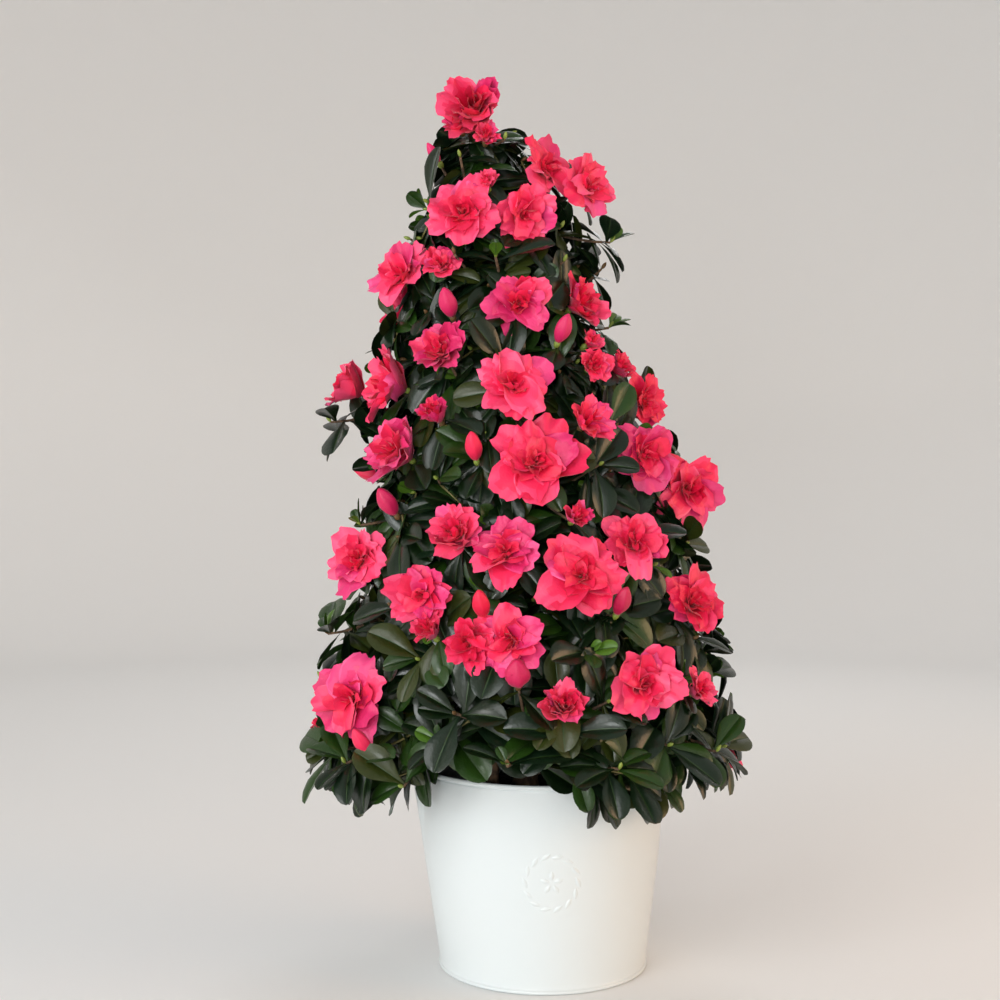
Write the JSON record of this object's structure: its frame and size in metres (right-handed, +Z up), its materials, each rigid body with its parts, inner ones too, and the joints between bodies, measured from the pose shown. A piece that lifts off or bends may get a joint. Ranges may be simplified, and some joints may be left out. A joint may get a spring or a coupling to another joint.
{
  "type": "potted pyramid azalea shrub",
  "caption": "Double-flowered azalea trained as a slender pyramid, in full bloom, planted in a tapered round enamelled pot with two pouring lips.",
  "frame": {"origin": "centre of the pot's flat underside", "axes": "+Z up the plant, -Y towards the side seen from in front, +X to the right as seen from there"},
  "size_m": [0.3087, 0.3125, 0.6041],
  "materials": {
    "enamel": "satin",
    "compost": "matte",
    "bark": "matte",
    "foliage": "satin",
    "blossom": "matte"
  },
  "bodies": {
    "root": {"compost": "compost", "lower_bough_2": "bark", "lower_bough_4": "bark", "lower_bough_6": "bark", "lower_foliage_1": "foliage", "lower_foliage_2": "foliage", "lower_foliage_3": "foliage", "lower_foliage_4": "foliage", "lower_foliage_5": "foliage", "lower_foliage_6": "foliage", "lower_side_stem_1": "bark", "lower_side_stem_3": "bark", "lower_side_stem_5": "bark", "middle_bough_1": "bark", "middle_bough_2": "bark", "middle_bough_3": "bark", "middle_bough_4": "bark", "middle_bough_5": "bark", "middle_foliage_1": "foliage", "middle_foliage_2": "foliage", "middle_foliage_3": "foliage", "middle_foliage_4": "foliage", "middle_foliage_5": "foliage", "neck_foliage_1": "foliage", "neck_foliage_2": "foliage", "neck_foliage_3": "foliage", "pot": "enamel", "shoulder_foliage_1": "foliage", "shoulder_foliage_2": "foliage", "shoulder_foliage_3": "foliage", "shoulder_foliage_4": "foliage", "skirt_bough_1": "bark", "skirt_bough_2": "bark", "skirt_bough_3": "bark", "skirt_bough_4": "bark", "skirt_bough_5": "bark", "skirt_bough_6": "bark", "skirt_foliage_1": "foliage", "skirt_foliage_2": "foliage", "skirt_foliage_3": "foliage", "skirt_foliage_4": "foliage", "skirt_foliage_5": "foliage", "skirt_foliage_6": "foliage", "tip_foliage": "foliage", "trunk": "bark", "upper_bough_1": "bark", "upper_bough_2": "bark", "upper_bough_3": "bark", "upper_bough_4": "bark", "upper_bough_5": "bark", "upper_foliage_1": "foliage", "upper_foliage_2": "foliage", "upper_foliage_3": "foliage", "upper_foliage_4": "foliage", "upper_foliage_5": "foliage"}
  },
  "joints": []
}
